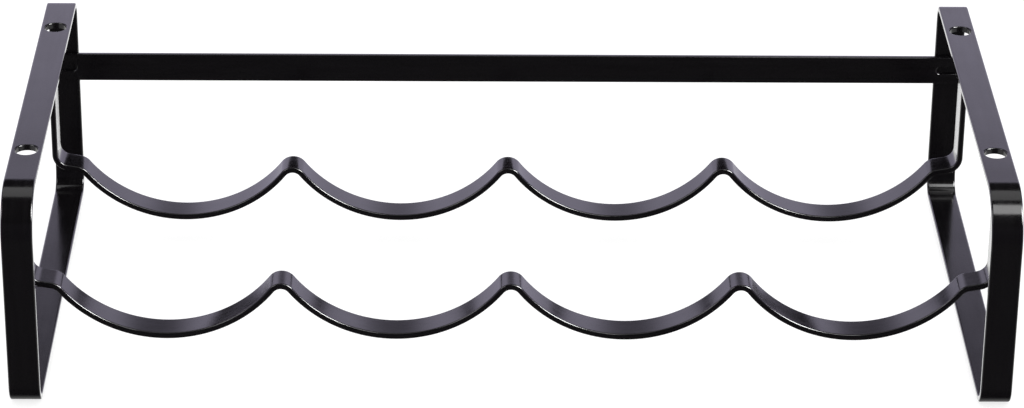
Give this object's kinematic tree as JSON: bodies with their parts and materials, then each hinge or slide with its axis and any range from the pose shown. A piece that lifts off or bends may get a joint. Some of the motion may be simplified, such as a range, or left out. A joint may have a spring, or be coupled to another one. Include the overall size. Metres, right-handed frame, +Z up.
{
  "type": "wine rack",
  "caption": "Low open rack of black flat steel bar: end loops joined by scalloped rails that cradle bottles side by side, with a rear stop bar.",
  "frame": {"origin": "centre of the footprint, on the surface the rack stands on", "axes": "+X along the rack, +Y towards the rear crossbar, +Z up"},
  "size_m": [0.48, 0.24, 0.11],
  "materials": {
    "powder_coat": "satin black powder coat on steel bar",
    "weld_coat": "satin black powder coat over weld metal"
  },
  "bodies": {
    "root": {"left_end_loop": "powder_coat", "right_end_loop": "powder_coat", "rear_crossbar": "powder_coat", "front_rail": "powder_coat", "rear_rail": "powder_coat", "left_crossbar_weld": "weld_coat", "right_crossbar_weld": "weld_coat", "front_left_tab_weld": "weld_coat", "front_right_tab_weld": "weld_coat", "rear_left_tab_weld": "weld_coat", "rear_right_tab_weld": "weld_coat", "left_loop_seam_weld": "weld_coat", "right_loop_seam_weld": "weld_coat"}
  },
  "joints": []
}
